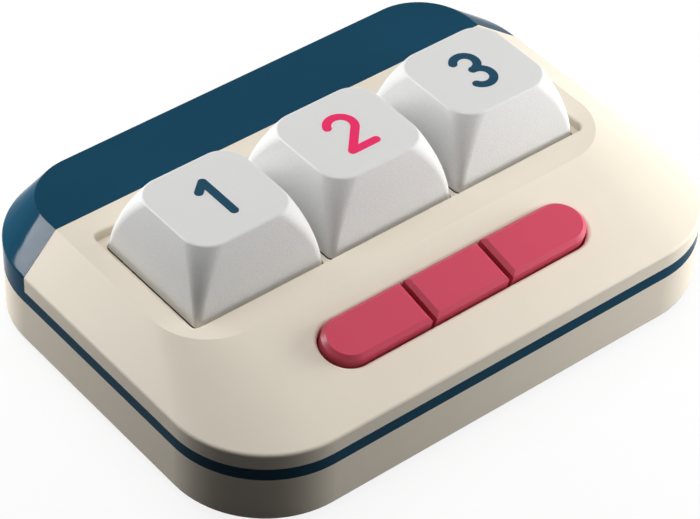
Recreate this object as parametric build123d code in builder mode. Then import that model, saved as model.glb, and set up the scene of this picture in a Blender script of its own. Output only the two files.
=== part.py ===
from build123d import *
from math import atan2, cos, degrees, hypot, pi, radians, sin, sqrt, tan
import os

# A small keypad with three sprung keys and three push buttons.
# Millimetres, +Z up, +Y to the rear, origin under the middle of the feet.

# Keycaps and the well they stand in
key_pitch = 19.05
key_travel = 4.0
keycap_gap = 0.95
keycap_depth = 17.4
keycap_height = 8.7
keycap_top_width = 13.9
keycap_top_depth = 13.2
keycap_base_radius = 0.8
keycap_middle_radius = 1.6
keycap_top_radius = 3.3
keycap_bulge = 0.45
keycap_edge = 0.3
keycap_wall = 1.4
keycap_roof = 1.25
keycap_post_radius = 2.8
well_side_gap = 1.0
well_front_gap = 0.72
well_rear_gap = 1.3
well_radius = 1.0
well_drop = 1.25
key_opening_gap = 0.15
skirt_sink = 1.2

# Case shell
side_border = 8.12
side_strip = 2.7
front_border = 19.83
front_strip = 3.63
rear_border = 15.1
rear_strip = 3.2
corner_radius = 12.5
shell = 1.8
floor_thickness = 1.6
stripe_height = 1.68
cover_wall_height = 2.12
slope_rise = 3.6
rear_slope_run = 2.4
plateau_radius = 7.5
hood_lean = 1.25
seam = 0.05
lip_thickness = 1.0
lip_height = 1.2
lip_gap = 0.1
tongue_width = 40.0
tongue_reach = 2.0
tongue_root = 1.5
shoulder_edge = 0.4
bottom_edge = 0.6
rim_edge = 0.25

# Feet and screws
foot_proud = 0.8
foot_recess = 0.6
foot_radius = 5.0
foot_gap = 0.15
foot_edge = 0.3
corner_inset = 8.5
screw_radius = 1.0
screw_fit = 0.03
screw_pass = 0.15
head_radius = 1.8
head_height = 1.0
head_gap = 0.2
socket_radius = 0.75
socket_depth = 0.6
case_screw_length = 7.0
board_screw_length = 3.0
plate_screw_length = 4.4
screw_tip_gap = 0.2
boss_radius = 3.2
boss_drop = 0.2
standoff_radius = 2.4
pillar_radius = 2.4
pillar_shoulder = 0.8
pillar_gap = 0.2

# Circuit board and switch plate
board_thickness = 1.2
board_gap = 0.6
board_screw_x = 9.5
board_screw_ahead = 12.8
board_rear_screw_x = 20.5
board_rear_screw_setback = 7.2
plate_thickness = 1.2
plate_gap = 0.6
plate_margin = 0.9
pillar_inset = 2.6

# Key switch
switch_seat = 2.6
switch_body = 13.9
switch_cutout_gap = 0.05
switch_wall = 1.75
switch_flange = 15.6
switch_flange_height = 1.0
switch_floor = 0.8
switch_roof = 1.4
switch_top_width = 11.4
peg_radius = 0.85
peg_gap = 0.1
peg_reach = 1.0
peg_spacing = 11.0
clip_proud = 0.35
clip_width = 3.0
clip_height = 0.9
clip_gap = 0.05
latch_width = 2.8
latch_thickness = 0.9
latch_reach = 1.4
latch_gap = 0.05
stem_body = 6.2
stem_guide_gap = 0.1
stem_flange = 8.6
stem_flange_height = 1.2
stem_stop_gap = 0.1
stem_floor_gap = 0.2
stem_roof = 2.8
cross_length = 4.0
cross_width = 1.2
cross_height = 3.8
cross_gap = 0.03
cross_end_gap = 0.3
post_gap = 0.2
press_gap = 0.4
magnet_radius = 1.05
magnet_height = 1.6
magnet_gap = 0.05
spring_wire = 0.3
spring_radius = 2.0
spring_side_gap = 0.2
spring_turns = 8
spring_end_gap = 0.02
spring_pocket = 0.25

# Push buttons in the front slope
button_setback = 7.0
slot_length = 38.2
slot_width = 6.7
slot_edge = 0.5
button_gap = 0.25
button_spacing = 0.65
centre_button_width = 10.7
button_proud = 1.2
button_edge = 0.5
button_flange = 0.8
button_flange_height = 1.0
button_flange_gap = 0.15
button_stalk_radius = 1.5
button_rest_gap = 0.02
button_travel = 0.3
tact_size = 6.0
tact_floor = 0.8
tact_roof = 1.4
tact_plunger_radius = 1.65
tact_plunger_gap = 0.1
tact_plunger_proud = 1.0
tact_flange_radius = 2.1
tact_flange_height = 0.6
tact_cavity_gap = 0.2
tact_stop_gap = 0.05
dome_radius = 2.0
dome_flat = 0.2
dome_sheet = 0.1
dome_gap = 0.02

# Socket for the lead
usb_width = 8.94
usb_height = 3.2
usb_length = 7.3
usb_sheet = 0.3
usb_recess = 0.5
usb_gap = 0.2
usb_floor_gap = 0.3
usb_wing = 1.2
usb_wing_length = 1.4
usb_wing_inset = 1.2
usb_wing_spacing = 2.8
usb_tongue_width = 6.7
usb_tongue_height = 0.7
usb_tongue_reach = 4.4
usb_block_length = 1.6
usb_fit = 0.03

# Electronic parts: length, depth and height
microcontroller_size = (7.0, 7.0, 0.9)
memory_size = (5.0, 4.0, 1.0)
crystal_size = (3.2, 2.5, 0.8)
regulator_size = (3.0, 1.7, 1.1)
sensor_size = (2.9, 1.4, 0.9)
capacitor_size = (1.6, 0.8, 0.8)
chip_row_gap = 1.8
chip_gap = 0.7
microcontroller_x = -12.5
regulator_x = 7.0
capacitor_count = 6
capacitor_spacing = 2.6

# How far a point may lie off a face or a rim and still count as on it
touch = 0.01

# Plan sizes and places that follow
keycap_width = key_pitch - keycap_gap
well_width = 2 * key_pitch + keycap_width + 2 * well_side_gap
well_depth = well_front_gap + keycap_depth + well_rear_gap
case_width = well_width + 2 * side_border
case_depth = well_depth + front_border + rear_border
y_front = -case_depth / 2
y_rear = case_depth / 2
y_keys = y_front + front_border + well_front_gap + keycap_depth / 2
y_well = y_front + front_border + well_depth / 2
y_border = y_well + well_depth / 2 + rear_strip
key_places = {"left": -key_pitch, "centre": 0.0, "right": key_pitch}
side_slope_run = side_border - side_strip
front_slope_run = front_border - front_strip
plateau_width = case_width - 2 * side_slope_run
plateau_depth = case_depth - front_slope_run - rear_slope_run
y_plateau = (front_slope_run - rear_slope_run) / 2
corner_x = case_width / 2 - corner_inset
corner_y = case_depth / 2 - corner_inset
lip_inset = shell + lip_gap
frame_inset = lip_inset + lip_thickness
plate_width = case_width - 2 * frame_inset - 2 * plate_gap
plate_depth = well_depth + 2 * plate_margin
pillar_x = plate_width / 2 - pillar_inset
pillar_y = plate_depth / 2 - pillar_inset

# Heights that follow, from the floor up to the keycaps and down again to the case walls
z_case = foot_proud
z_floor = z_case + floor_thickness
z_board = z_floor + usb_floor_gap + (usb_height - board_thickness) / 2
z_board_top = z_board + board_thickness
z_plate_top = z_board_top + switch_seat
z_plate = z_plate_top - plate_thickness
z_flange_top = z_plate_top + switch_flange_height
z_switch_floor = z_board_top + switch_floor
z_stem = z_switch_floor + stem_floor_gap + key_travel
z_stem_flange_top = z_stem + stem_flange_height
z_switch_roof = z_stem_flange_top + stem_stop_gap
z_switch_top = z_switch_roof + switch_roof
z_post = z_switch_top + press_gap + key_travel
z_stem_top = z_post - post_gap
z_stem_seat = z_stem_top - stem_roof
z_cross_top = z_stem_top + cross_height
z_cap_ceiling = z_cross_top + cross_end_gap
z_cap_top = z_cap_ceiling + keycap_roof
z_skirt = z_cap_top - keycap_height
z_plateau = z_skirt + skirt_sink
z_shoulder = z_plateau - slope_rise
z_stripe_top = z_shoulder - cover_wall_height
z_split = z_stripe_top - stripe_height
z_boss = z_plate - boss_drop
z_case_screw = z_case + foot_recess + head_gap + head_height
z_boss_hole_top = z_case_screw + case_screw_length + screw_tip_gap
z_pillar_hole = z_plate_top - plate_screw_length - screw_tip_gap
z_standoff_hole = z_board_top - board_screw_length - screw_tip_gap

# Inner faces of the sloping roof run parallel to the outer ones
front_angle = degrees(atan2(slope_rise, front_slope_run))
side_angle = degrees(atan2(slope_rise, side_slope_run))
rear_angle = degrees(atan2(slope_rise, rear_slope_run))
z_shoulder_inside = z_shoulder - shell * tan(radians(90 - front_angle) / 2)
inside_front = front_slope_run + shell * tan(radians(front_angle) / 2)
inside_side = side_slope_run + shell * tan(radians(side_angle) / 2)
inside_rear = rear_slope_run + shell * tan(radians(rear_angle) / 2)

# The button row lies on the front slope
slope_plane = Plane((0, y_front, z_shoulder), x_dir=(1, 0, 0), z_dir=(0, -slope_rise, front_slope_run))
button_row = hypot(front_slope_run, slope_rise) - button_setback
y_buttons = y_front + button_row * cos(radians(front_angle))
z_buttons = z_shoulder + button_row * sin(radians(front_angle))
button_inner_x = centre_button_width / 2 + button_spacing
button_outer_x = slot_length / 2 - button_gap
side_button_x = (button_inner_x + button_outer_x) / 2
button_places = {"left": -side_button_x, "centre": 0.0, "right": side_button_x}
button_spans = {
    "left": (-slot_length, -button_inner_x),
    "centre": (-centre_button_width / 2, centre_button_width / 2),
    "right": (button_inner_x, slot_length),
}
dome_height = button_travel + dome_flat
z_dome = z_board_top + tact_floor
z_tact_plunger = z_dome + dome_height + dome_gap
z_tact_flange = z_tact_plunger + tact_flange_height
z_tact_roof = z_tact_flange + tact_stop_gap
z_tact_top = z_tact_roof + tact_roof
z_plunger_top = z_tact_top + tact_plunger_proud
z_tongue_top = z_plateau - shell - lip_gap
switch_cutout = switch_body + 2 * switch_cutout_gap
switch_cavity = switch_body - 2 * switch_wall
spring_bore = spring_radius + spring_wire / 2 + spring_side_gap
stem_pole_radius = spring_radius - spring_wire / 2 - spring_side_gap
z_spring = z_switch_floor - spring_pocket + spring_end_gap + spring_wire / 2
spring_rise = z_stem_seat - spring_end_gap - spring_wire / 2 - z_spring
z_usb = z_board + board_thickness / 2
y_usb_face = y_rear - usb_recess
y_usb_back = y_usb_face - usb_length
y_chips = y_usb_back - chip_row_gap
crystal_x = microcontroller_x + (microcontroller_size[0] + crystal_size[0]) / 2 + chip_gap
memory_x = regulator_x + (regulator_size[0] + memory_size[0]) / 2 + chip_gap
y_capacitors = y_chips - (microcontroller_size[1] + capacitor_size[1]) / 2 - chip_gap

# Places of the screws and pillars
case_screw_places = [(x, y) for x in (-corner_x, corner_x) for y in (-corner_y, corner_y)]
pillar_places = [(x, y_keys + y) for x in (-pillar_x, pillar_x) for y in (-pillar_y, pillar_y)]
y_front_screws = y_keys - board_screw_ahead
y_rear_screws = y_rear - board_rear_screw_setback
board_screw_places = [(x, y_front_screws) for x in (-board_screw_x, board_screw_x)]
board_screw_places += [(x, y_rear_screws) for x in (-board_rear_screw_x, board_rear_screw_x)]

UPWARD = (Align.CENTER, Align.CENTER, Align.MIN)
REARWARD = (Align.CENTER, Align.MIN)


def save(piece, name):
    """Label a finished piece and write it under its own name."""
    piece.part.label = name
    export_step(piece.part, f"parts/{name}.step")


def at_height(places, height):
    """Turn places in plan into points at one height."""
    return [(x, y, height) for x, y in places]


def case_outline(inset=0.0, mode=Mode.ADD):
    """Plan of the case, drawn inside its outer wall by an inset."""
    RectangleRounded(case_width - 2 * inset, case_depth - 2 * inset, corner_radius - inset, mode=mode)


def rim_edges(piece, plane, y, width, depth):
    """Edges of a piece that lie in a plane, along the rim of a cut of a given size."""

    def on_rim(edge):
        spot = plane.to_local_coords(edge @ 0.5)
        across = abs(spot.X) < width / 2 + touch
        along = abs(spot.Y - y) < depth / 2 + touch
        return abs(spot.Z) < touch and across and along

    return piece.edges().filter_by(on_rim)


def border_profile(shift, y_far, z_low):
    """Side profile of everything on one side of the border between cover and hood."""
    y_low = y_border - hood_lean + shift
    Polyline(
        (y_far, z_plateau + slope_rise),
        (y_border + shift, z_plateau + slope_rise),
        (y_border + shift, z_plateau),
        (y_low, z_shoulder),
        (y_low, z_low),
        (y_far, z_low),
        close=True,
    )


def upper_shell():
    """Hollow upper case with its four screw bosses, before it is parted into cover and hood."""
    with BuildPart() as cavity:
        with BuildSketch(Plane.XY.offset(z_stripe_top)):
            case_outline(shell)
        extrude(amount=z_shoulder_inside - z_stripe_top)
        with BuildSketch(Plane.XY.offset(z_shoulder_inside)):
            case_outline(shell)
        with BuildSketch(Plane.XY.offset(z_plateau - shell)):
            with Locations((0, (inside_front - inside_rear) / 2)):
                RectangleRounded(
                    case_width - 2 * inside_side, case_depth - inside_front - inside_rear, plateau_radius
                )
        loft(ruled=True)
        with Locations(*at_height(case_screw_places, z_stripe_top)):
            Cylinder(boss_radius, z_plateau - z_stripe_top, align=UPWARD, mode=Mode.SUBTRACT)

    with BuildPart() as upper:
        with BuildSketch(Plane.XY.offset(z_stripe_top)):
            case_outline()
        extrude(amount=cover_wall_height)
        with BuildSketch(Plane.XY.offset(z_shoulder)):
            case_outline()
        with BuildSketch(Plane.XY.offset(z_plateau)):
            with Locations((0, y_plateau)):
                RectangleRounded(plateau_width, plateau_depth, plateau_radius)
        loft(ruled=True)
        shoulder = upper.edges().filter_by_position(Axis.Z, z_shoulder - touch, z_shoulder + touch)
        fillet(shoulder, shoulder_edge)
        add(cavity.part, mode=Mode.SUBTRACT)
        with Locations(*at_height(case_screw_places, z_boss)):
            Cylinder(boss_radius, z_stripe_top - z_boss, align=UPWARD)
        with Locations(*at_height(case_screw_places, z_boss)):
            Cylinder(screw_radius + screw_fit, z_boss_hole_top - z_boss, align=UPWARD, mode=Mode.SUBTRACT)
    return upper.part


def keycap_sections(seat, inset, height):
    """Three rounded squares that a keycap's swelling sides run through, drawn in by an inset."""
    middle_width = (keycap_width + keycap_top_width) / 2 + 2 * keycap_bulge
    middle_depth = (keycap_depth + keycap_top_depth) / 2 + 2 * keycap_bulge
    sizes = [
        (0.0, keycap_width, keycap_depth, keycap_base_radius),
        (height / 2, middle_width, middle_depth, keycap_middle_radius),
        (height, keycap_top_width, keycap_top_depth, keycap_top_radius),
    ]
    faces = []
    for level, width, depth, radius in sizes:
        with BuildSketch(seat.offset(level)) as section:
            RectangleRounded(width - 2 * inset, depth - 2 * inset, radius)
        faces.append(section.sketch.faces()[0])
    return faces


def cross_plan(gap):
    """Plan of the cross that joins stem and keycap, widened by a gap on every side."""
    Rectangle(cross_length + 2 * gap, cross_width + 2 * gap)
    Rectangle(cross_width + 2 * gap, cross_length + 2 * gap)


def make_keycap(x):
    """Hollow keycap with a post that takes the stem's cross."""
    seat = Plane((x, y_keys, z_skirt))
    with BuildPart() as cap:
        loft(keycap_sections(seat, 0.0, keycap_height))
        fillet(cap.faces().sort_by(Axis.Z)[-1].edges(), keycap_edge)
        loft(keycap_sections(seat, keycap_wall, z_cap_ceiling - z_skirt), mode=Mode.SUBTRACT)
        with BuildSketch(seat.offset(z_post - z_skirt)):
            Circle(keycap_post_radius)
        extrude(amount=z_cap_ceiling + keycap_roof / 2 - z_post)
        with BuildSketch(seat.offset(z_post - z_skirt)):
            cross_plan(cross_gap)
        extrude(amount=z_cap_ceiling - z_post, mode=Mode.SUBTRACT)
    return cap


def make_switch_base(x):
    """Lower half of a key switch, with pegs for the board and clips for the plate."""
    seat = Plane((x, y_keys, 0))
    wall_middle = (switch_body + switch_cavity) / 4
    with BuildPart() as base:
        with BuildSketch(seat.offset(z_board_top)):
            Rectangle(switch_body, switch_body)
        extrude(amount=switch_seat)
        with BuildSketch(seat.offset(z_plate_top)):
            Rectangle(switch_flange, switch_flange)
        extrude(amount=switch_flange_height)
        with BuildSketch(seat.offset(z_switch_floor)):
            Rectangle(switch_cavity, switch_cavity)
        extrude(amount=z_flange_top - z_switch_floor, mode=Mode.SUBTRACT)
        with BuildSketch(seat.offset(z_switch_floor)):
            Circle(spring_bore)
        extrude(amount=-spring_pocket, mode=Mode.SUBTRACT)
        with BuildSketch(seat.offset(z_flange_top)):
            with GridLocations(0, 2 * wall_middle, 1, 2):
                Rectangle(latch_width + 2 * latch_gap, latch_thickness + 2 * latch_gap)
        extrude(amount=-latch_reach - latch_gap, mode=Mode.SUBTRACT)
        with BuildSketch(seat.offset(z_board_top)):
            with GridLocations(peg_spacing, 0, 2, 1):
                Circle(peg_radius)
        extrude(amount=-peg_reach)
        with BuildSketch(Plane((x, y_keys, z_plate - clip_gap), x_dir=(1, 0, 0), z_dir=(0, -1, 0))):
            for side in (-1, 1):
                with BuildLine():
                    Polyline(
                        (side * (switch_cavity / 2), 0),
                        (side * (switch_body / 2 + clip_proud), 0),
                        (side * (switch_body / 2), -clip_height),
                        (side * (switch_cavity / 2), -clip_height),
                        close=True,
                    )
                make_face()
        extrude(amount=clip_width / 2, both=True)
    return base


def make_switch_top(x):
    """Upper half of a key switch, with the opening that guides the stem."""
    seat = Plane((x, y_keys, 0))
    wall_middle = (switch_body + switch_cavity) / 4
    opening = stem_body + 2 * stem_guide_gap
    with BuildPart() as top:
        with BuildSketch(seat.offset(z_flange_top)):
            Rectangle(switch_body, switch_body)
        with BuildSketch(seat.offset(z_switch_top)):
            Rectangle(switch_top_width, switch_top_width)
        loft(ruled=True)
        with BuildSketch(seat.offset(z_flange_top)):
            Rectangle(switch_cavity, switch_cavity)
        extrude(amount=z_switch_roof - z_flange_top, mode=Mode.SUBTRACT)
        with BuildSketch(seat.offset(z_switch_roof)):
            Rectangle(opening, opening)
        extrude(amount=switch_roof, mode=Mode.SUBTRACT)
        with BuildSketch(seat.offset(z_flange_top)):
            with GridLocations(0, 2 * wall_middle, 1, 2):
                Rectangle(latch_width, latch_thickness)
        extrude(amount=-latch_reach)
    return top


def make_switch_stem(x):
    """Sliding stem: flange, hollow body, pole for the magnet and cross for the keycap."""
    seat = Plane((x, y_keys, 0))
    with BuildPart() as stem:
        with BuildSketch(seat.offset(z_stem)):
            Rectangle(stem_flange, stem_flange)
        extrude(amount=stem_flange_height)
        with BuildSketch(seat.offset(z_stem_flange_top)):
            Rectangle(stem_body, stem_body)
        extrude(amount=z_stem_top - z_stem_flange_top)
        with BuildSketch(seat.offset(z_stem)):
            Circle(spring_bore)
            Circle(stem_pole_radius, mode=Mode.SUBTRACT)
        extrude(amount=z_stem_seat - z_stem, mode=Mode.SUBTRACT)
        with BuildSketch(seat.offset(z_stem)):
            Circle(magnet_radius + magnet_gap)
        extrude(amount=magnet_height + magnet_gap, mode=Mode.SUBTRACT)
        with BuildSketch(seat.offset(z_stem_top)):
            cross_plan(0.0)
        extrude(amount=cross_height)
    return stem


def make_switch_magnet(x):
    """Small round magnet in the foot of the stem's pole."""
    with BuildPart() as magnet:
        with BuildSketch(Plane((x, y_keys, z_stem))):
            Circle(magnet_radius)
        extrude(amount=magnet_height)
    return magnet


def make_switch_spring(x):
    """Coil spring, swept along a helix made of two tangent arcs for every quarter turn."""
    start = Vector(x, y_keys, z_spring)
    climb = spring_rise / spring_turns / (2 * pi * spring_radius)
    half = pi / 4
    reach = spring_radius * (sin(half) * cos(half) + climb**2 * half)
    chord = spring_radius**2 * (sin(half) ** 2 + (climb * half) ** 2)
    knee = spring_radius * cos(half) + (sqrt(reach**2 + chord * sin(half) ** 2) - reach) / sin(half)

    def on_coil(angle, radius):
        return start + Vector(radius * cos(angle), radius * sin(angle), climb * spring_radius * angle)

    with BuildPart() as spring:
        with BuildLine() as coil:
            for quarter in range(4 * spring_turns):
                begin = quarter * pi / 2
                middle = begin + half
                end = begin + 2 * half
                heading = Vector(-sin(begin), cos(begin), climb)
                first = TangentArc(on_coil(begin, spring_radius), on_coil(middle, knee), tangent=heading)
                TangentArc(first @ 1, on_coil(end, spring_radius), tangent=first % 1)
        path = coil.wire()
        with BuildSketch(Plane(path @ 0, z_dir=path % 0)):
            Circle(spring_wire / 2)
        sweep(path=path)

    steps = 16
    points = [path @ (i / (steps * spring_turns)) for i in range(steps * spring_turns + 1)]
    nearest = min((a - b).length for i, a in enumerate(points) for b in points[i + steps // 2 :])
    print(f"least gap between the coils of a spring: {nearest - spring_wire:.2f} mm")
    return spring


def make_button(side):
    """Red push button: a length of the pill, with a flange under the roof and a stalk."""
    low, high = button_spans[side]
    flange_depth = shell + button_flange_gap
    z_flange = -(flange_depth + button_flange_height)
    z_flange_middle = z_buttons - (flange_depth + button_flange_height / 2) / cos(radians(front_angle))
    z_stalk = z_plunger_top + button_rest_gap
    with BuildPart() as button:
        for grow, top in ((-button_gap, button_proud), (button_flange - button_gap, -flange_depth)):
            with BuildSketch(slope_plane.offset(z_flange)):
                with Locations((0, button_row)):
                    SlotOverall(slot_length + 2 * grow, slot_width + 2 * grow)
                with Locations(((low + high) / 2, button_row)):
                    Rectangle(high - low, 2 * slot_width, mode=Mode.INTERSECT)
            extrude(amount=top - z_flange)
        chamfer(button.faces().sort_by(Axis((0, 0, 0), slope_plane.z_dir))[-1].edges(), button_edge)
        with BuildSketch(Plane((button_places[side], y_buttons, z_stalk))):
            Circle(button_stalk_radius)
        extrude(amount=z_flange_middle - z_stalk)
    return button


def make_tact_body(x):
    """Housing of the small switch below a button."""
    seat = Plane((x, y_buttons, 0))
    with BuildPart() as body:
        with BuildSketch(seat.offset(z_board_top)):
            Rectangle(tact_size, tact_size)
        extrude(amount=z_tact_top - z_board_top)
        with BuildSketch(seat.offset(z_dome)):
            Circle(tact_flange_radius + tact_cavity_gap)
        extrude(amount=z_tact_roof - z_dome, mode=Mode.SUBTRACT)
        with BuildSketch(seat.offset(z_tact_roof)):
            Circle(tact_plunger_radius + tact_plunger_gap)
        extrude(amount=tact_roof, mode=Mode.SUBTRACT)
    return body


def make_tact_plunger(x):
    """Plunger of the small switch, which the button's stalk rests on."""
    seat = Plane((x, y_buttons, 0))
    with BuildPart() as plunger:
        with BuildSketch(seat.offset(z_tact_plunger)):
            Circle(tact_flange_radius)
        extrude(amount=tact_flange_height)
        with BuildSketch(seat.offset(z_tact_flange)):
            Circle(tact_plunger_radius)
        extrude(amount=z_plunger_top - z_tact_flange)
    return plunger


def make_tact_dome(x):
    """Thin metal snap dome that pushes the plunger back up."""
    inner_radius = dome_radius - dome_sheet
    inner_height = dome_height - dome_sheet
    with BuildPart() as dome:
        with BuildSketch(Plane((x, y_buttons, z_dome), x_dir=(1, 0, 0), z_dir=(0, -1, 0))):
            with BuildLine():
                outer = TangentArc((0, dome_height), (dome_radius, 0), tangent=(1, 0))
                inner = TangentArc((0, inner_height), (inner_radius, 0), tangent=(1, 0))
                Line(outer @ 0, inner @ 0)
                Line(outer @ 1, inner @ 1)
            make_face()
        revolve(axis=Axis((x, y_buttons, 0), (0, 0, 1)))
    return dome


def make_screws(places, z_bearing, length, head):
    """Group of socket screws whose heads lie below or above the face they bear on."""
    head_way = -1 if head == "below" else 1
    with BuildPart() as screws:
        with BuildSketch(Plane.XY.offset(z_bearing)):
            with Locations(*places):
                Circle(head_radius)
        extrude(amount=head_way * head_height)
        with BuildSketch(Plane.XY.offset(z_bearing)):
            with Locations(*places):
                Circle(screw_radius)
        extrude(amount=-head_way * length)
        with BuildSketch(Plane.XY.offset(z_bearing + head_way * head_height)):
            with Locations(*places):
                RegularPolygon(socket_radius, 6)
        extrude(amount=-head_way * socket_depth, mode=Mode.SUBTRACT)
    return screws


def make_chips(places, size, z_low):
    """Group of plain electronic packages that stand at one height."""
    length, depth, height = size
    with BuildPart() as chips:
        with BuildSketch(Plane.XY.offset(z_low)):
            with Locations(*places):
                Rectangle(length, depth)
        extrude(amount=height)
    return chips


os.makedirs("parts", exist_ok=True)
upper_case = upper_shell()

# Cream cover with the key well, an opening for each key and the button slot
with BuildPart() as top_cover:
    add(upper_case)
    with BuildSketch(Plane.YZ):
        with BuildLine():
            border_profile(0.0, y_rear + shell, z_boss - shell)
        make_face()
    extrude(amount=case_width, both=True, mode=Mode.SUBTRACT)
    with BuildSketch(Plane.XY.offset(z_plateau)):
        with Locations((0, y_well)):
            RectangleRounded(well_width, well_depth, well_radius)
    extrude(amount=-well_drop, mode=Mode.SUBTRACT)
    fillet(rim_edges(top_cover, Plane.XY.offset(z_plateau), y_well, well_width, well_depth), rim_edge)
    with BuildSketch(Plane.XY.offset(z_plateau)):
        with Locations((0, y_keys)):
            with GridLocations(key_pitch, 0, len(key_places), 1):
                RectangleRounded(
                    keycap_width + 2 * key_opening_gap,
                    keycap_depth + 2 * key_opening_gap,
                    keycap_base_radius + key_opening_gap,
                )
    extrude(amount=-2 * shell, mode=Mode.SUBTRACT)
    with BuildSketch(slope_plane):
        with Locations((0, button_row)):
            SlotOverall(slot_length, slot_width)
    extrude(amount=2 * shell, both=True, mode=Mode.SUBTRACT)
    fillet(rim_edges(top_cover, slope_plane, button_row, slot_length, slot_width), slot_edge)
save(top_cover, "top_cover")

# Navy frame: a stripe all round that rises into the rear hood, with lips that locate tray and cover
with BuildPart() as mid_frame:
    add(upper_case)
    with BuildSketch(Plane.YZ):
        with BuildLine():
            border_profile(seam, y_front - shell, z_boss - shell)
        make_face()
    extrude(amount=case_width, both=True, mode=Mode.SUBTRACT)
    with BuildSketch(Plane.XY.offset(z_split)):
        case_outline()
        case_outline(frame_inset, Mode.SUBTRACT)
    extrude(amount=stripe_height)
    with BuildSketch(Plane.XY.offset(z_split)):
        case_outline(lip_inset)
        case_outline(frame_inset, Mode.SUBTRACT)
        with Locations((0, y_rear)):
            Rectangle(usb_width + 2 * usb_wing + 2 * usb_gap, 4 * frame_inset, mode=Mode.SUBTRACT)
    extrude(amount=-lip_height)
    with BuildSketch(Plane.XY.offset(z_stripe_top)):
        case_outline(lip_inset)
        case_outline(frame_inset, Mode.SUBTRACT)
        with Locations((0, y_border - hood_lean)):
            Rectangle(case_width, case_depth, align=REARWARD, mode=Mode.SUBTRACT)
    extrude(amount=z_shoulder_inside - z_stripe_top - lip_gap)
    with BuildSketch(Plane.YZ):
        with BuildLine():
            Polyline(
                (y_border - tongue_reach, z_tongue_top),
                (y_border + seam, z_tongue_top),
                (y_border + seam, z_tongue_top + lip_gap + shell / 2),
                (y_border + tongue_root, z_tongue_top + lip_gap + shell / 2),
                (y_border + tongue_root, z_tongue_top - lip_thickness),
                (y_border - tongue_reach, z_tongue_top - lip_thickness),
                close=True,
            )
        make_face()
    extrude(amount=tongue_width / 2, both=True)
save(mid_frame, "mid_frame")

# Cream tray with screw columns, pillars for the plate, standoffs for the board and the socket opening
with BuildPart() as bottom_case:
    with BuildSketch(Plane.XY.offset(z_case)):
        case_outline()
    extrude(amount=z_split - z_case)
    fillet(bottom_case.faces().sort_by(Axis.Z)[0].edges(), bottom_edge)
    with BuildSketch(Plane.XY.offset(z_floor)):
        case_outline(shell)
    extrude(amount=z_split - z_floor, mode=Mode.SUBTRACT)
    for places, radius, height in (
        (case_screw_places, boss_radius, z_boss),
        (pillar_places, pillar_radius + pillar_shoulder, z_board),
        (pillar_places, pillar_radius, z_plate),
        (board_screw_places, standoff_radius, z_board),
    ):
        with Locations(*at_height(places, z_floor)):
            Cylinder(radius, height - z_floor, align=UPWARD)
    for places, radius, z_low, z_high in (
        (case_screw_places, foot_radius + foot_gap, z_case, z_case + foot_recess),
        (case_screw_places, head_radius + head_gap, z_case, z_case_screw),
        (case_screw_places, screw_radius + screw_pass, z_case, z_boss),
        (pillar_places, screw_radius + screw_fit, z_pillar_hole, z_plate),
        (board_screw_places, screw_radius + screw_fit, z_standoff_hole, z_board),
    ):
        with Locations(*at_height(places, z_low)):
            Cylinder(radius, z_high - z_low, align=UPWARD, mode=Mode.SUBTRACT)
    with BuildSketch(Plane((0, y_rear, z_usb), x_dir=(1, 0, 0), z_dir=(0, 1, 0))):
        SlotOverall(usb_width + 2 * usb_gap, usb_height + 2 * usb_gap)
    extrude(amount=-2 * shell, mode=Mode.SUBTRACT)
save(bottom_case, "bottom_case")

# Rubber feet over the case screws
with BuildPart() as rubber_feet:
    with BuildSketch():
        with Locations(*case_screw_places):
            Circle(foot_radius)
    extrude(amount=foot_proud + foot_recess)
    fillet(rubber_feet.edges().group_by(Axis.Z)[0], foot_edge)
save(rubber_feet, "rubber_feet")

# Circuit board, notched for the socket and drilled for columns, pillars, screws and switch pegs
with BuildPart() as main_pcb:
    with BuildSketch(Plane.XY.offset(z_board)):
        case_outline(shell + board_gap)
        with Locations(*case_screw_places):
            Circle(boss_radius + pillar_gap, mode=Mode.SUBTRACT)
        with Locations(*pillar_places):
            Circle(pillar_radius + pillar_gap, mode=Mode.SUBTRACT)
        with Locations(*board_screw_places):
            Circle(screw_radius + screw_pass, mode=Mode.SUBTRACT)
        with Locations((0, y_keys)):
            for x in key_places.values():
                with Locations((x - peg_spacing / 2, 0), (x + peg_spacing / 2, 0)):
                    Circle(peg_radius + peg_gap, mode=Mode.SUBTRACT)
        with Locations((0, y_usb_back - usb_gap)):
            Rectangle(usb_width + 2 * usb_gap, usb_length, align=REARWARD, mode=Mode.SUBTRACT)
    extrude(amount=board_thickness)
save(main_pcb, "main_pcb")

# Metal plate that the key switches snap into
with BuildPart() as switch_plate:
    with BuildSketch(Plane.XY.offset(z_plate)):
        with Locations((0, y_keys)):
            Rectangle(plate_width, plate_depth)
            with GridLocations(key_pitch, 0, len(key_places), 1):
                Rectangle(switch_cutout, switch_cutout, mode=Mode.SUBTRACT)
        with Locations(*pillar_places):
            Circle(screw_radius + screw_pass, mode=Mode.SUBTRACT)
    extrude(amount=plate_thickness)
save(switch_plate, "switch_plate")

# Screws
save(make_screws(case_screw_places, z_case_screw, case_screw_length, "below"), "case_screws")
save(make_screws(board_screw_places, z_board_top, board_screw_length, "above"), "pcb_screws")
save(make_screws(pillar_places, z_plate_top, plate_screw_length, "above"), "plate_screws")

# The three keys
for side, x in key_places.items():
    save(make_keycap(x), f"keycap_{side}")
    save(make_switch_base(x), f"switch_base_{side}")
    save(make_switch_top(x), f"switch_top_{side}")
    save(make_switch_stem(x), f"switch_stem_{side}")
    save(make_switch_magnet(x), f"switch_magnet_{side}")
    save(make_switch_spring(x), f"switch_spring_{side}")

# The three red buttons
for side, x in button_places.items():
    save(make_button(side), f"macro_button_{side}")
    save(make_tact_body(x), f"tact_body_{side}")
    save(make_tact_plunger(x), f"tact_plunger_{side}")
    save(make_tact_dome(x), f"tact_dome_{side}")

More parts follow.
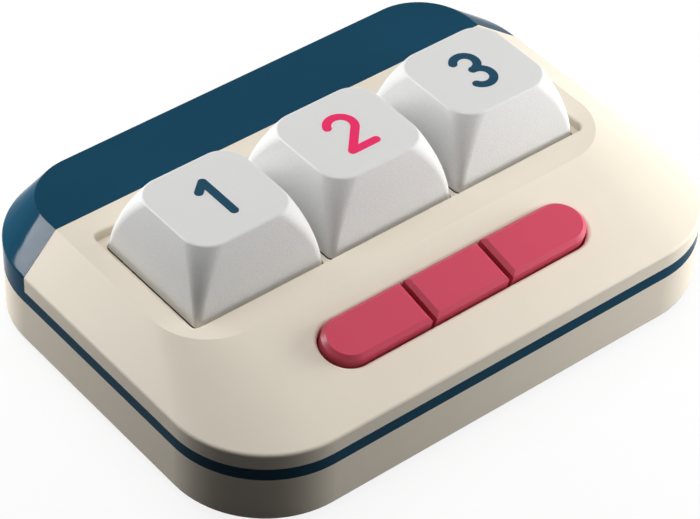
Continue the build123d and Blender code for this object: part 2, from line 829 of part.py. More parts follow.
# Socket: a sheet-metal shell whose wings lie on the board, round a block with a tongue
usb_plane = Plane((0, y_usb_back, z_usb), x_dir=(-1, 0, 0), z_dir=(0, 1, 0))
usb_inside = usb_sheet + usb_fit
with BuildPart() as usb_shell:
    with BuildSketch(usb_plane):
        SlotOverall(usb_width, usb_height)
        SlotOverall(usb_width - 2 * usb_sheet, usb_height - 2 * usb_sheet, mode=Mode.SUBTRACT)
    extrude(amount=usb_length)
    with BuildSketch(Plane.XY.offset(z_board_top)):
        with Locations((0, y_usb_back + usb_wing_inset + usb_wing_spacing / 2)):
            with GridLocations(usb_width - usb_sheet + usb_wing, usb_wing_spacing, 2, 2):
                Rectangle(usb_wing + usb_sheet, usb_wing_length)
    extrude(amount=usb_sheet)
save(usb_shell, "usb_shell")

with BuildPart() as usb_insulator:
    with BuildSketch(usb_plane):
        SlotOverall(usb_width - 2 * usb_inside, usb_height - 2 * usb_inside)
    extrude(amount=usb_block_length)
    with BuildSketch(usb_plane):
        Rectangle(usb_tongue_width, usb_tongue_height)
    extrude(amount=usb_block_length + usb_tongue_reach)
save(usb_insulator, "usb_insulator")

# Electronic parts on the board, with the sensors below the magnets on its underside
save(make_chips([(microcontroller_x, y_chips)], microcontroller_size, z_board_top), "microcontroller")
save(make_chips([(memory_x, y_chips)], memory_size, z_board_top), "memory_chip")
save(make_chips([(crystal_x, y_chips)], crystal_size, z_board_top), "crystal")
save(make_chips([(regulator_x, y_chips)], regulator_size, z_board_top), "voltage_regulator")
capacitor_places = [
    ((i - (capacitor_count - 1) / 2) * capacitor_spacing, y_capacitors) for i in range(capacitor_count)
]
save(make_chips(capacitor_places, capacitor_size, z_board_top), "capacitors")
sensor_places = [(x, y_keys) for x in key_places.values()]
save(make_chips(sensor_places, sensor_size, z_board - sensor_size[2]), "hall_sensors")
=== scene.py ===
import math

import bmesh
import bpy
from mathutils import Matrix, Quaternion, Vector


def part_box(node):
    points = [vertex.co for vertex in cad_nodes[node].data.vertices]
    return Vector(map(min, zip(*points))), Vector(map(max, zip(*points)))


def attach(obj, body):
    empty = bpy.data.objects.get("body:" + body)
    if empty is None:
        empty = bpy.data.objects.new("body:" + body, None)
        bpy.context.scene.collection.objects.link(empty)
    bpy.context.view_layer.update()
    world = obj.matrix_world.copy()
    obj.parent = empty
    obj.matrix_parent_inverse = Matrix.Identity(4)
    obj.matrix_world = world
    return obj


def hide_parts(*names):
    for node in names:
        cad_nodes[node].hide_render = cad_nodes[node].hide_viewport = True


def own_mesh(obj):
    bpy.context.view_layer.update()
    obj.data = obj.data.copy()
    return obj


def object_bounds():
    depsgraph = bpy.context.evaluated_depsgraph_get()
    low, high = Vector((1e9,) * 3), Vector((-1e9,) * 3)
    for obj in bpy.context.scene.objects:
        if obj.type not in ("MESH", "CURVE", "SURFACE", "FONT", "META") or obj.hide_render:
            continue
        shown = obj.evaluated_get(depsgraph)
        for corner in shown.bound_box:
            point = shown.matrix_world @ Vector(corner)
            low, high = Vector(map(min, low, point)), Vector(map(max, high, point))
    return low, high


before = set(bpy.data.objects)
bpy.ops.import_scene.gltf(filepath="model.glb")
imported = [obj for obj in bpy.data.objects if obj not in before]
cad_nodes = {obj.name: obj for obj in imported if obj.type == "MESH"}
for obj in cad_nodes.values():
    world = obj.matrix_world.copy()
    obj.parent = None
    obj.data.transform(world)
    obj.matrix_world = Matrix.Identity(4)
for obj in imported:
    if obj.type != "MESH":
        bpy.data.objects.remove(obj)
cad_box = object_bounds()

bl_info = {
    "name": "Three-key desk keypad",
    "version": (1, 0, 0),
    "blender": (4, 5, 0),
    "location": "3D View > Sidebar > Keypad",
    "description": "Finishes, springs, key numerals, socket contacts and studio of a small desk keypad",
    "category": "Object",
}

SIDES = ("left", "centre", "right")
MM = 0.001

# Noise values between which the roughness drifts
NOISE_LOW, NOISE_HIGH = 0.3, 0.7
# Upward share of a normal where a side ends and where a top starts
SIDE_END, TOP_START = 0.75, 0.97
# What the tops of speckled plastic keep of its speckle and relief
SPECKLE_ON_TOPS = 0.25
RELIEF_ON_TOPS = 0.2

CONTACTS_PER_FACE = 12

# Direction of each lamp in degrees, and its distance and size in metres
LAMPS = {
    "right_low": {"azimuth": 330, "elevation": 10, "distance": 0.15, "size": (0.10, 0.05)},
    "right_high": {"azimuth": 318, "elevation": 40, "distance": 0.20, "size": (0.18, 0.15)},
    "left_low": {"azimuth": 118, "elevation": 8, "distance": 0.14, "size": (0.10, 0.04), "mirrored": False},
    "left_high": {"azimuth": 128, "elevation": 38, "distance": 0.22, "size": (0.14, 0.14), "mirrored": False},
    "overhead": {"azimuth": 90, "elevation": 80, "distance": 0.35, "size": (0.3, 0.3), "mirrored": False},
    "hood_gleam": {
        "azimuth": 129.3,
        "elevation": 31.5,
        "distance": 0.209,
        "size": (0.057, 0.026),
        "spread": False,
        "roll": 38,
    },
}
LAMP_AIM = Vector((0, 0, 0.01))

CAMERA_AZIMUTH, CAMERA_ELEVATION, CAMERA_ROLL = -40.652, 42.485, 2.589
CAMERA_PLACE = (-0.167489, -0.19437, 0.238733)
SENSOR_WIDTH = 36.0
NEAR_CLIP = 0.01

# Floor: colour for the eye, colour for bounced light, and share of the eye's view that glows white
FLOOR_SEEN = (0.9, 0.9, 0.9)
FLOOR_BOUNCE = (0.11, 0.11, 0.11)
FLOOR_GLOW = 0.86
FLOOR_DROP = 0.02 * MM


def tint(red, green, blue):
    """Linear colour from the numbers of a colour picker."""
    shares = (value / 255 for value in (red, green, blue))
    return tuple(s / 12.92 if s <= 0.04045 else ((s + 0.055) / 1.055) ** 2.4 for s in shares)


def colour_setting(name, description, red, green, blue):
    """Colour that a user may change."""
    return bpy.props.FloatVectorProperty(
        name=name,
        description=description,
        subtype="COLOR",
        size=3,
        min=0.0,
        max=1.0,
        default=tint(red, green, blue),
    )


def length_setting(name, description, millimetres):
    """Length that a user may change, kept in metres."""
    return bpy.props.FloatProperty(
        name=name,
        description=description,
        subtype="DISTANCE",
        unit="LENGTH",
        precision=5,
        min=0.0,
        default=millimetres * MM,
    )


def share_setting(name, description, value):
    """Plain factor that a user may change."""
    return bpy.props.FloatProperty(name=name, description=description, min=0.0, default=value)


class KeypadColours(bpy.types.PropertyGroup):
    """Colours of the keypad's materials."""

    cream: colour_setting("Cream", "Cover and tray", 231, 222, 206)
    navy: colour_setting("Navy", "Stripe, hood and two of the numerals", 24, 68, 91)
    keycap: colour_setting("Keycap", "Keycaps", 221, 221, 220)
    red: colour_setting("Red", "Push buttons", 202, 75, 97)
    pink: colour_setting("Pink", "Numeral on the middle key", 236, 51, 106)
    rubber: colour_setting("Rubber", "Feet", 44, 44, 46)
    steel: colour_setting("Steel", "Plate, screws, springs and socket shell", 186, 187, 190)
    gold: colour_setting("Gold", "Contacts in the socket", 214, 172, 92)
    board: colour_setting("Board", "Lacquer of the circuit board", 22, 66, 48)
    copper: colour_setting("Copper", "Tracks that show through the lacquer", 42, 96, 66)
    housing: colour_setting("Housing", "Switch housings and chips", 40, 41, 44)
    stem: colour_setting("Stem", "Sliding stems and plungers", 196, 70, 54)
    ceramic: colour_setting("Ceramic", "Capacitors", 168, 138, 104)


class KeypadGrain(bpy.types.PropertyGroup):
    """Sizes of the moulded textures."""

    shell: length_setting("Shell grain", "Grain of cover, tray and hood", 0.22)
    keycap: length_setting("Keycap grain", "Grain of the keycaps", 0.2)
    button: length_setting("Button grain", "Grain of buttons, switches and stems", 0.18)
    numeral: length_setting("Numeral grain", "Grain of the printed numerals", 0.2)
    streak: length_setting("Streak", "Width of the streaks on metal", 0.25)
    pore: length_setting("Pore", "Spacing of the pores in the rubber", 0.5)
    track: length_setting("Track", "Spacing of the tracks on the board", 2.4)
    mottle: length_setting("Mottle", "Soft cloudiness of moulded plastic", 6.0)


class KeypadNumerals(bpy.types.PropertyGroup):
    """Shape of the printed numerals."""

    height: length_setting("Height", "Height of a numeral", 7.0)
    stroke: length_setting("Stroke", "Width of a stroke", 1.1)
    print_height: length_setting("Print height", "How far the print stands on the keycap", 0.03)
    layer_step: share_setting("Layer step", "Share of that height by which strokes that cross differ", 0.05)


class KeypadContacts(bpy.types.PropertyGroup):
    """Shape of the contacts in the lead socket."""

    pitch: length_setting("Pitch", "Spacing of the contacts", 0.5)
    width: length_setting("Width", "Width of a contact", 0.27)
    length: length_setting("Length", "Length of a contact", 3.2)
    thickness: length_setting("Thickness", "Thickness of a contact", 0.06)
    edge: length_setting("Edge", "Bevel along the edges of a contact", 0.012)
    setback: length_setting("Setback", "Middle of a contact behind the tip of the tongue", 1.9)
    tongue: length_setting("Tongue", "Half of the tongue's thickness", 0.35)


class KeypadStudio(bpy.types.PropertyGroup):
    """Floor, lamps and camera."""

    floor: length_setting("Floor", "Width of the floor", 3000.0)
    lens: length_setting("Lens", "Focal length on a 36 mm wide sensor", 150.715)
    right_low: share_setting("Right low lamp", "Watts of the low lamp at the right front", 0.2)
    right_high: share_setting("Right high lamp", "Watts of the raised lamp at the right front", 0.096)
    left_low: share_setting("Left low lamp", "Watts of the low lamp behind on the left", 0.19)
    left_high: share_setting("Left high lamp", "Watts of the raised lamp behind on the left", 0.055)
    overhead: share_setting("Overhead lamp", "Watts of the wide lamp straight above", 0.81)
    hood_gleam: share_setting("Hood gleam", "Watts of the strip that the hood's slope mirrors", 0.84)
    sky: share_setting("Sky", "Strength of the even light from all round", 0.004)


def new_finish(name, colour, roughness, **sockets):
    """Material with one shader whose even values are set on its own sockets."""
    material = bpy.data.materials.new(name)
    material.use_nodes = True
    material.diffuse_color = (*colour, 1.0)
    surface = material.node_tree.nodes["Principled BSDF"]
    surface.inputs["Base Color"].default_value = (*colour, 1.0)
    surface.inputs["Roughness"].default_value = roughness
    for socket, value in sockets.items():
        surface.inputs[socket.replace("_", " ")].default_value = value
    return material, material.node_tree, surface


def object_place(tree, stretch=(1.0, 1.0, 1.0)):
    """Place on the piece, in metres, which moves with the piece."""
    place = tree.nodes.new("ShaderNodeTexCoord")
    mapping = tree.nodes.new("ShaderNodeMapping")
    mapping.inputs["Scale"].default_value = stretch
    tree.links.new(place.outputs["Object"], mapping.inputs["Vector"])
    return mapping.outputs["Vector"]


def cloud(tree, place, size, detail=2.0):
    """Soft noise whose blotches have a given size."""
    noise = tree.nodes.new("ShaderNodeTexNoise")
    noise.inputs["Scale"].default_value = 1.0 / size
    noise.inputs["Detail"].default_value = detail
    tree.links.new(place, noise.inputs["Vector"])
    return noise.outputs["Fac"]


def shade(colour, factor):
    """Colour made lighter or darker by a factor."""
    return tuple(min(1.0, channel * factor) for channel in colour)


def vary_colour(tree, surface, share, low, high):
    """Let the colour drift between two shades."""
    mix = tree.nodes.new("ShaderNodeMix")
    mix.data_type = "RGBA"
    mix.inputs["A"].default_value = (*low, 1.0)
    mix.inputs["B"].default_value = (*high, 1.0)
    tree.links.new(share, mix.inputs["Factor"])
    tree.links.new(mix.outputs["Result"], surface.inputs["Base Color"])
    return mix


def vary_roughness(tree, surface, share, low, high):
    """Let the roughness drift between two values."""
    spread = tree.nodes.new("ShaderNodeMapRange")
    spread.inputs["From Min"].default_value = NOISE_LOW
    spread.inputs["From Max"].default_value = NOISE_HIGH
    spread.inputs["To Min"].default_value = low
    spread.inputs["To Max"].default_value = high
    tree.links.new(share, spread.inputs["Value"])
    tree.links.new(spread.outputs["Result"], surface.inputs["Roughness"])


def raise_grain(tree, surface, height, depth, strength=None):
    """Give the surface a fine relief of a given depth, everywhere alike or by a share."""
    bump = tree.nodes.new("ShaderNodeBump")
    bump.inputs["Distance"].default_value = depth
    bump.inputs["Strength"].default_value = 1.0
    if strength:
        tree.links.new(strength, bump.inputs["Strength"])
    tree.links.new(height, bump.inputs["Height"])
    tree.links.new(bump.outputs["Normal"], surface.inputs["Normal"])


def share_on_sides(tree, steep, level):
    """Share that is higher on steep faces than on faces that look up."""
    place = tree.nodes.new("ShaderNodeTexCoord")
    split = tree.nodes.new("ShaderNodeSeparateXYZ")
    fade = tree.nodes.new("ShaderNodeMapRange")
    fade.inputs["From Min"].default_value = SIDE_END
    fade.inputs["From Max"].default_value = TOP_START
    fade.inputs["To Min"].default_value = steep
    fade.inputs["To Max"].default_value = level
    tree.links.new(place.outputs["Normal"], split.inputs["Vector"])
    tree.links.new(split.outputs["Z"], fade.inputs["Value"])
    return fade.outputs["Result"]


def moulded_plastic(name, colour, grain, depth, roughness, drift=0.03, speckle=0.0, **sockets):
    """Moulded plastic with cloudy colour, uneven gloss and a grain, which is on the sides if speckled."""
    low, high = roughness
    material, tree, surface = new_finish(name, colour, (low + high) / 2, **sockets)
    place = object_place(tree)
    fine = cloud(tree, place, grain, detail=3.0)
    mottle = cloud(tree, place, bpy.context.scene.keypad_grain.mottle)
    mix = vary_colour(tree, surface, mottle, shade(colour, 1 - drift), shade(colour, 1 + drift))
    if speckle:
        dots = tree.nodes.new("ShaderNodeMix")
        dots.data_type = "RGBA"
        dots.blend_type = "OVERLAY"
        amount = share_on_sides(tree, speckle, speckle * SPECKLE_ON_TOPS)
        tree.links.new(amount, dots.inputs["Factor"])
        tree.links.new(mix.outputs["Result"], dots.inputs["A"])
        tree.links.new(fine, dots.inputs["B"])
        tree.links.new(dots.outputs["Result"], surface.inputs["Base Color"])
    vary_roughness(tree, surface, fine, low, high)
    strength = share_on_sides(tree, 1.0, RELIEF_ON_TOPS) if speckle else None
    raise_grain(tree, surface, fine, depth, strength)
    return material


def brushed_metal(name, colour, stretch, roughness):
    """Metal with fine streaks along one direction."""
    low, high = roughness
    material, tree, surface = new_finish(name, colour, (low + high) / 2, Metallic=1.0)
    streaks = cloud(tree, object_place(tree, stretch), bpy.context.scene.keypad_grain.streak, detail=4.0)
    vary_colour(tree, surface, streaks, shade(colour, 0.88), shade(colour, 1.08))
    vary_roughness(tree, surface, streaks, low, high)
    raise_grain(tree, surface, streaks, depth=0.004 * MM)
    return material


def foot_rubber(name, colour):
    """Dull rubber with small pores."""
    material, tree, surface = new_finish(name, colour, 0.85)
    place = object_place(tree)
    pores = tree.nodes.new("ShaderNodeTexVoronoi")
    pores.inputs["Scale"].default_value = 1.0 / bpy.context.scene.keypad_grain.pore
    tree.links.new(place, pores.inputs["Vector"])
    dust = cloud(tree, place, size=2.0 * MM)
    vary_colour(tree, surface, dust, shade(colour, 0.8), shade(colour, 1.25))
    vary_roughness(tree, surface, pores.outputs["Distance"], low=0.75, high=0.95)
    raise_grain(tree, surface, pores.outputs["Distance"], depth=0.02 * MM)
    return material


def lacquered_board(name, lacquer, copper):
    """Circuit board: tracks that stand a little under a glossy lacquer."""
    material, tree, surface = new_finish(name, lacquer, 0.3)
    place = object_place(tree)
    tracks = tree.nodes.new("ShaderNodeTexBrick")
    tracks.inputs["Scale"].default_value = 1.0 / bpy.context.scene.keypad_grain.track
    tracks.inputs["Mortar Size"].default_value = 0.06
    tracks.inputs["Color1"].default_value = (*lacquer, 1.0)
    tracks.inputs["Color2"].default_value = (*shade(lacquer, 1.15), 1.0)
    tracks.inputs["Mortar"].default_value = (*copper, 1.0)
    tree.links.new(place, tracks.inputs["Vector"])
    tree.links.new(tracks.outputs["Color"], surface.inputs["Base Color"])
    vary_roughness(tree, surface, cloud(tree, place, size=1.0 * MM), low=0.25, high=0.4)
    raise_grain(tree, surface, tracks.outputs["Fac"], depth=0.02 * MM)
    return material


def seen_by_eye(tree):
    """One for the camera's rays, also by way of gloss or a clear piece, and nought for the rest."""
    path = tree.nodes.new("ShaderNodeLightPath")
    total = path.outputs["Is Camera Ray"]
    for ray in ("Is Glossy Ray", "Is Transmission Ray"):
        larger = tree.nodes.new("ShaderNodeMath")
        larger.operation = "MAXIMUM"
        tree.links.new(total, larger.inputs[0])
        tree.links.new(path.outputs[ray], larger.inputs[1])
        total = larger.outputs[0]
    return total


def give(finish, *names):
    """Put one finish on CAD nodes."""
    for name in names:
        mesh = cad_nodes[name].data
        mesh.materials.clear()
        mesh.materials.append(finish)


def on_each_side(*stems):
    """Names of like nodes at the left, in the centre and at the right."""
    return [f"{stem}_{side}" for stem in stems for side in SIDES]


def closed_mesh(bm, name):
    """Mesh of closed shapes, with its faces turned outwards."""
    bmesh.ops.recalc_face_normals(bm, faces=bm.faces)
    mesh = bpy.data.meshes.new(name)
    bm.to_mesh(mesh)
    bm.free()
    return mesh


def new_piece(name, mesh, finish, body):
    """Link a mesh as a piece that has one finish and rides on a body."""
    mesh.materials.clear()
    mesh.materials.append(finish)
    piece = bpy.data.objects.new(name, mesh)
    bpy.context.scene.collection.objects.link(piece)
    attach(piece, body)
    return piece


def arc(centre, radius, first, last, steps=20):
    """Points along a circular arc, angles in degrees."""
    spots = []
    for step in range(steps + 1):
        angle = math.radians(first + (last - first) * step / steps)
        across = radius * math.cos(angle)
        along = radius * math.sin(angle)
        spots.append(Vector((centre[0] + across, centre[1] + along)))
    return spots


# Strokes of each numeral, in shares of its height
NUMERALS = {
    "left": [
        [Vector((-0.17, 0.29)), Vector((0.07, 0.5))],
        [Vector((0.07, 0.5)), Vector((0.07, -0.5))],
    ],
    "centre": [
        arc((0.0, 0.22), 0.28, 160, -38) + [Vector((-0.28, -0.5))],
        [Vector((-0.28, -0.5)), Vector((0.3, -0.5))],
    ],
    "right": [
        arc((-0.01, 0.255), 0.245, 150, -90),
        arc((-0.01, -0.245), 0.255, 90, -150),
    ],
}


def stroke_outline(path, width):
    """Outline of a stroke with round ends that follows a path."""
    headings = []
    for i, spot in enumerate(path):
        before = path[max(i - 1, 0)]
        after = path[min(i + 1, len(path) - 1)]
        headings.append((after - before).normalized())
    sides = [Vector((-h.y, h.x)) * width / 2 for h in headings]
    turn = math.degrees(math.atan2(sides[-1].y, sides[-1].x))
    back = math.degrees(math.atan2(sides[0].y, sides[0].x)) + 180
    outline = [spot + side for spot, side in zip(path, sides)]
    outline += arc(path[-1], width / 2, turn, turn - 180, 12)[1:-1]
    outline += [spot - side for spot, side in zip(reversed(path), reversed(sides))]
    outline += arc(path[0], width / 2, back, back - 180, 12)[1:-1]
    return outline


class KEYPAD_OT_case_finish(bpy.types.Operator):
    """Give the cover, tray, hood and feet their moulded finishes"""

    bl_idname = "keypad.case_finish"
    bl_label = "Case finish"

    def execute(self, context):
        colours = context.scene.keypad_colours
        grain = context.scene.keypad_grain
        cream = moulded_plastic(
            "cream_satin",
            colours.cream,
            grain.shell,
            depth=0.004 * MM,
            roughness=(0.42, 0.52),
            drift=0.02,
            Specular_IOR_Level=0.03,
        )
        navy = moulded_plastic(
            "navy_satin",
            colours.navy,
            grain.shell,
            depth=0.0015 * MM,
            roughness=(0.08, 0.11),
            drift=0.04,
            Specular_IOR_Level=0.012,
        )
        give(cream, "top_cover", "bottom_case")
        give(navy, "mid_frame")
        give(foot_rubber("dull_rubber", colours.rubber), "rubber_feet")
        return {"FINISHED"}


class KEYPAD_OT_key_finish(bpy.types.Operator):
    """Give the keycaps their grainy finish"""

    bl_idname = "keypad.key_finish"
    bl_label = "Keycap finish"

    def execute(self, context):
        colours = context.scene.keypad_colours
        grain = context.scene.keypad_grain
        finish = moulded_plastic(
            "keycap_grain",
            colours.keycap,
            grain.keycap,
            depth=0.022 * MM,
            roughness=(0.45, 0.6),
            drift=0.012,
            speckle=0.22,
            Specular_IOR_Level=0.3,
        )
        give(finish, *on_each_side("keycap"))
        return {"FINISHED"}


class KEYPAD_OT_button_finish(bpy.types.Operator):
    """Give the push buttons their red satin finish"""

    bl_idname = "keypad.button_finish"
    bl_label = "Button finish"

    def execute(self, context):
        colours = context.scene.keypad_colours
        grain = context.scene.keypad_grain
        finish = moulded_plastic(
            "red_satin",
            colours.red,
            grain.button,
            depth=0.004 * MM,
            roughness=(0.36, 0.46),
            drift=0.025,
            Specular_IOR_Level=0.15,
        )
        give(finish, *on_each_side("macro_button"))
        return {"FINISHED"}


class KEYPAD_OT_inner_finish(bpy.types.Operator):
    """Give the board, plate, switches, screws and socket their finishes"""

    bl_idname = "keypad.inner_finish"
    bl_label = "Inner finishes"

    def execute(self, context):
        colours = context.scene.keypad_colours
        grain = context.scene.keypad_grain
        sheet = brushed_metal("brushed_plate", colours.steel, stretch=(1.0, 14.0, 14.0), roughness=(0.28, 0.42))
        bright = brushed_metal("bright_fastener", colours.steel, stretch=(6.0, 6.0, 1.0), roughness=(0.2, 0.3))
        housing = moulded_plastic(
            "dark_housing", colours.housing, grain.button, depth=0.004 * MM, roughness=(0.4, 0.55), drift=0.08
        )
        stem = moulded_plastic(
            "stem_plastic", colours.stem, grain.button, depth=0.003 * MM, roughness=(0.3, 0.4), drift=0.04
        )
        resin = shade(colours.housing, 0.7)
        chip = moulded_plastic(
            "chip_resin", resin, grain.shell, depth=0.008 * MM, roughness=(0.55, 0.7), drift=0.1
        )
        ceramic = moulded_plastic(
            "ceramic_body", colours.ceramic, grain.shell, depth=0.004 * MM, roughness=(0.45, 0.6), drift=0.08
        )
        give(sheet, "switch_plate", "usb_shell", "crystal")
        give(bright, "case_screws", "pcb_screws", "plate_screws")
        give(bright, *on_each_side("switch_spring", "switch_magnet", "tact_dome"))
        give(housing, *on_each_side("switch_base", "switch_top", "tact_body"))
        give(stem, *on_each_side("switch_stem", "tact_plunger"))
        give(chip, "microcontroller", "memory_chip", "voltage_regulator")
        give(chip, "hall_sensors", "usb_insulator")
        give(ceramic, "capacitors")
        give(lacquered_board("board_lacquer", colours.board, colours.copper), "main_pcb")
        return {"FINISHED"}


class KEYPAD_OT_numerals(bpy.types.Operator):
    """Print a numeral on each keycap"""

    bl_idname = "keypad.numerals"
    bl_label = "Key numerals"

    def execute(self, context):
        colours = context.scene.keypad_colours
        shape = context.scene.keypad_numerals
        navy = self.ink("navy_print", colours.navy)
        pink = self.ink("pink_print", colours.pink)
        span = shape.height - shape.stroke
        for side, strokes in NUMERALS.items():
            low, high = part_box(f"keycap_{side}")
            middle = Vector(((low[0] + high[0]) / 2, (low[1] + high[1]) / 2))
            bm = bmesh.new()
            for layer, path in enumerate(strokes):
                spots = [spot * span + middle for spot in path]
                outline = stroke_outline(spots, shape.stroke)
                top = high[2] + shape.print_height * (1 + shape.layer_step * layer)
                face = bm.faces.new([bm.verts.new((s.x, s.y, top)) for s in outline])
                sides = bmesh.ops.extrude_face_region(bm, geom=[face])
                lower = [v for v in sides["geom"] if isinstance(v, bmesh.types.BMVert)]
                bmesh.ops.translate(bm, vec=(0, 0, -2 * shape.print_height), verts=lower)
            name = f"numeral_{side}"
            finish = pink if side == "centre" else navy
            new_piece(name, closed_mesh(bm, name), finish, f"key_{side}")
        return {"FINISHED"}

    def ink(self, name, colour):
        """Smooth printing ink."""
        grain = bpy.context.scene.keypad_grain.numeral
        return moulded_plastic(
            name, colour, grain, depth=0.003 * MM, roughness=(0.4, 0.5), drift=0.03, Specular_IOR_Level=0.1
        )


class KEYPAD_OT_socket_contacts(bpy.types.Operator):
    """Lay gold contacts on both faces of the socket's tongue"""

    bl_idname = "keypad.socket_contacts"
    bl_label = "Socket contacts"

    def execute(self, context):
        colour = context.scene.keypad_colours.gold
        shape = context.scene.keypad_contacts
        gold = brushed_metal("contact_gold", colour, stretch=(8.0, 1.0, 8.0), roughness=(0.18, 0.3))
        low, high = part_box("usb_insulator")
        middle = (low[2] + high[2]) / 2
        size = Matrix.Diagonal((shape.width, shape.length, shape.thickness, 1.0))
        bm = bmesh.new()
        for way in (-1, 1):
            for i in range(CONTACTS_PER_FACE):
                across = (i - (CONTACTS_PER_FACE - 1) / 2) * shape.pitch
                spot = (across, high[1] - shape.setback, middle + way * shape.tongue)
                bmesh.ops.create_cube(bm, size=1.0, matrix=Matrix.Translation(spot) @ size)
        bmesh.ops.bevel(bm, geom=bm.edges[:], offset=shape.edge, segments=1, affect="EDGES")
        mesh = closed_mesh(bm, "socket_contacts")
        new_piece("socket_contacts", mesh, gold, "case")
        return {"FINISHED"}


class KEYPAD_OT_sprung_pieces(bpy.types.Operator):
    """Put a copy of each coil spring and snap dome in its node's place, riding on the case, and hide the node
    """

    bl_idname = "keypad.sprung_pieces"
    bl_label = "Springs and domes"

    def execute(self, context):
        for side in SIDES:
            self.let_give(f"switch_spring_{side}", f"coil_spring_{side}", f"key_{side}_press", "fastener_steel")
            self.let_give(f"tact_dome_{side}", f"snap_dome_{side}", f"button_{side}_press", "sheet_steel")
        return {"FINISHED"}

    def let_give(self, node, name, joint, slot):
        """Piece in a node's place, with a mesh of its own, that rides on the case while the node is hidden; the
        joint is not used.
        """
        mesh = cad_nodes[node].data.copy()
        piece = new_piece(name, mesh, mesh.materials[0], "case")
        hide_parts(node)
        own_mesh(piece)


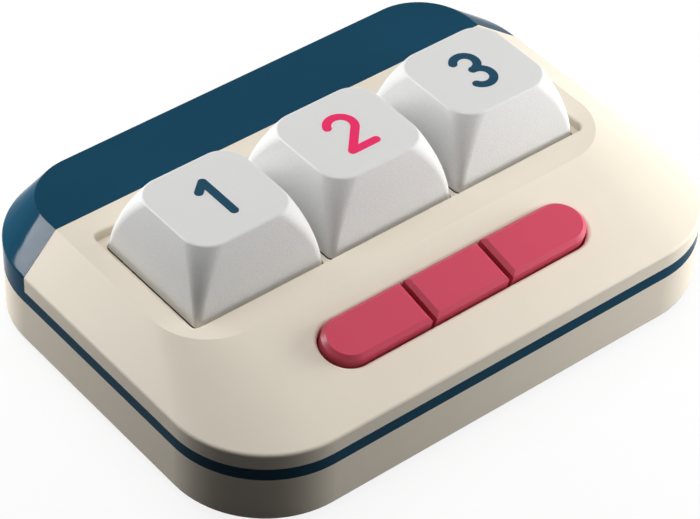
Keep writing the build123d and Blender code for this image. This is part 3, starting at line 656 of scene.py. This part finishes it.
class KEYPAD_OT_studio(bpy.types.Operator):
    """Set up the floor, the lamps, the even light and the camera"""

    bl_idname = "keypad.studio"
    bl_label = "Studio"

    def execute(self, context):
        settings = context.scene.keypad_studio
        self.lay_floor(settings.floor)
        self.light_world(context.scene, settings.sky)
        for name, place in LAMPS.items():
            self.hang_lamp(name, power=getattr(settings, name), **place)
        self.place_camera(context.scene, settings.lens)
        context.scene.view_settings.view_transform = "Standard"
        return {"FINISHED"}

    def lay_floor(self, width):
        """Pale floor that looks white to the camera and keeps a soft shadow."""
        material, tree, surface = new_finish("pale_floor", FLOOR_SEEN, 0.9, Specular_IOR_Level=0.0)
        seen = seen_by_eye(tree)
        vary_colour(tree, surface, seen, FLOOR_BOUNCE, FLOOR_SEEN)
        share = tree.nodes.new("ShaderNodeMath")
        share.operation = "MULTIPLY"
        share.inputs[1].default_value = FLOOR_GLOW
        white = tree.nodes.new("ShaderNodeEmission")
        mix = tree.nodes.new("ShaderNodeMixShader")
        tree.links.new(seen, share.inputs[0])
        tree.links.new(share.outputs[0], mix.inputs[0])
        tree.links.new(surface.outputs["BSDF"], mix.inputs[1])
        tree.links.new(white.outputs["Emission"], mix.inputs[2])
        tree.links.new(mix.outputs["Shader"], tree.nodes["Material Output"].inputs["Surface"])
        bm = bmesh.new()
        bmesh.ops.create_grid(bm, x_segments=1, y_segments=1, size=width / 2)
        mesh = bpy.data.meshes.new("floor")
        bm.to_mesh(mesh)
        bm.free()
        mesh.materials.append(material)
        floor = bpy.data.objects.new("floor", mesh)
        floor.location.z = cad_box[0][2] - FLOOR_DROP
        bpy.context.scene.collection.objects.link(floor)

    def light_world(self, scene, strength):
        """Even light on the object, and white where the camera sees past the floor."""
        world = bpy.data.worlds.new("studio")
        world.use_nodes = True
        tree = world.node_tree
        tree.nodes.clear()
        even = tree.nodes.new("ShaderNodeBackground")
        even.inputs["Color"].default_value = (1.0, 1.0, 1.0, 1.0)
        even.inputs["Strength"].default_value = strength
        white = tree.nodes.new("ShaderNodeBackground")
        white.inputs["Color"].default_value = (1.0, 1.0, 1.0, 1.0)
        mix = tree.nodes.new("ShaderNodeMixShader")
        output = tree.nodes.new("ShaderNodeOutputWorld")
        tree.links.new(seen_by_eye(tree), mix.inputs[0])
        tree.links.new(even.outputs["Background"], mix.inputs[1])
        tree.links.new(white.outputs["Background"], mix.inputs[2])
        tree.links.new(mix.outputs["Shader"], output.inputs["Surface"])
        scene.world = world

    def hang_lamp(self, name, power, azimuth, elevation, distance, size, mirrored=True, spread=True, roll=0):
        """Rectangular lamp that faces the keypad and gives an image on gloss, spread light or both."""
        turn = math.radians(azimuth)
        rise = math.radians(elevation)
        reach = math.cos(rise)
        way = Vector((math.cos(turn) * reach, math.sin(turn) * reach, math.sin(rise)))
        lamp = bpy.data.lights.new(name, "AREA")
        lamp.shape = "RECTANGLE"
        lamp.size, lamp.size_y = size
        lamp.energy = power
        holder = bpy.data.objects.new(name, lamp)
        holder.location = way * distance + LAMP_AIM
        facing = way.to_track_quat("Z", "Y") @ Quaternion((0, 0, 1), math.radians(roll))
        holder.rotation_euler = facing.to_euler()
        holder.visible_camera = False
        holder.visible_glossy = mirrored
        holder.visible_diffuse = spread
        bpy.context.scene.collection.objects.link(holder)

    def place_camera(self, scene, lens):
        """Camera at the photograph's place, tilted a little about its own axis."""
        azimuth = math.radians(CAMERA_AZIMUTH)
        elevation = math.radians(CAMERA_ELEVATION)
        back = Vector((
            math.sin(azimuth) * math.cos(elevation),
            -math.cos(azimuth) * math.cos(elevation),
            math.sin(elevation),
        ))
        right = Vector((math.cos(azimuth), math.sin(azimuth), 0.0))
        level = Matrix((right, back.cross(right), back)).transposed()
        turned = level @ Matrix.Rotation(math.radians(CAMERA_ROLL), 3, "Z")
        data = bpy.data.cameras.new("camera")
        data.sensor_fit = "HORIZONTAL"
        data.sensor_width = SENSOR_WIDTH
        data.lens = lens / MM
        data.clip_start = NEAR_CLIP
        camera = bpy.data.objects.new("camera", data)
        camera.matrix_world = Matrix.Translation(CAMERA_PLACE) @ turned.to_4x4()
        scene.collection.objects.link(camera)
        scene.camera = camera


class KEYPAD_PT_panel(bpy.types.Panel):
    """Keypad settings and steps in the sidebar"""

    bl_idname = "KEYPAD_PT_panel"
    bl_label = "Keypad"
    bl_space_type = "VIEW_3D"
    bl_region_type = "UI"
    bl_category = "Keypad"

    def draw(self, context):
        for name in SETTINGS:
            box = self.layout.box()
            group = getattr(context.scene, name)
            for key in group.bl_rna.properties.keys():
                if key not in ("rna_type", "name"):
                    box.prop(group, key)
        for operator in OPERATORS:
            self.layout.operator(operator.bl_idname)


SETTINGS = {
    "keypad_colours": KeypadColours,
    "keypad_grain": KeypadGrain,
    "keypad_numerals": KeypadNumerals,
    "keypad_contacts": KeypadContacts,
    "keypad_studio": KeypadStudio,
}
OPERATORS = (
    KEYPAD_OT_case_finish,
    KEYPAD_OT_key_finish,
    KEYPAD_OT_button_finish,
    KEYPAD_OT_inner_finish,
    KEYPAD_OT_sprung_pieces,
    KEYPAD_OT_numerals,
    KEYPAD_OT_socket_contacts,
    KEYPAD_OT_studio,
)


def register():
    """Register the settings, operators and panel."""
    for name, group in SETTINGS.items():
        bpy.utils.register_class(group)
        setattr(bpy.types.Scene, name, bpy.props.PointerProperty(type=group))
    for operator in OPERATORS:
        bpy.utils.register_class(operator)
    bpy.utils.register_class(KEYPAD_PT_panel)


def unregister():
    """Remove the panel, operators and settings."""
    bpy.utils.unregister_class(KEYPAD_PT_panel)
    for operator in reversed(OPERATORS):
        bpy.utils.unregister_class(operator)
    for name, group in reversed(SETTINGS.items()):
        delattr(bpy.types.Scene, name)
        bpy.utils.unregister_class(group)


def main():
    """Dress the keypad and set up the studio."""
    register()
    bpy.ops.keypad.case_finish()
    bpy.ops.keypad.key_finish()
    bpy.ops.keypad.button_finish()
    bpy.ops.keypad.inner_finish()
    bpy.ops.keypad.sprung_pieces()
    bpy.ops.keypad.numerals()
    bpy.ops.keypad.socket_contacts()
    bpy.ops.keypad.studio()


if __name__ == "__main__":
    main()
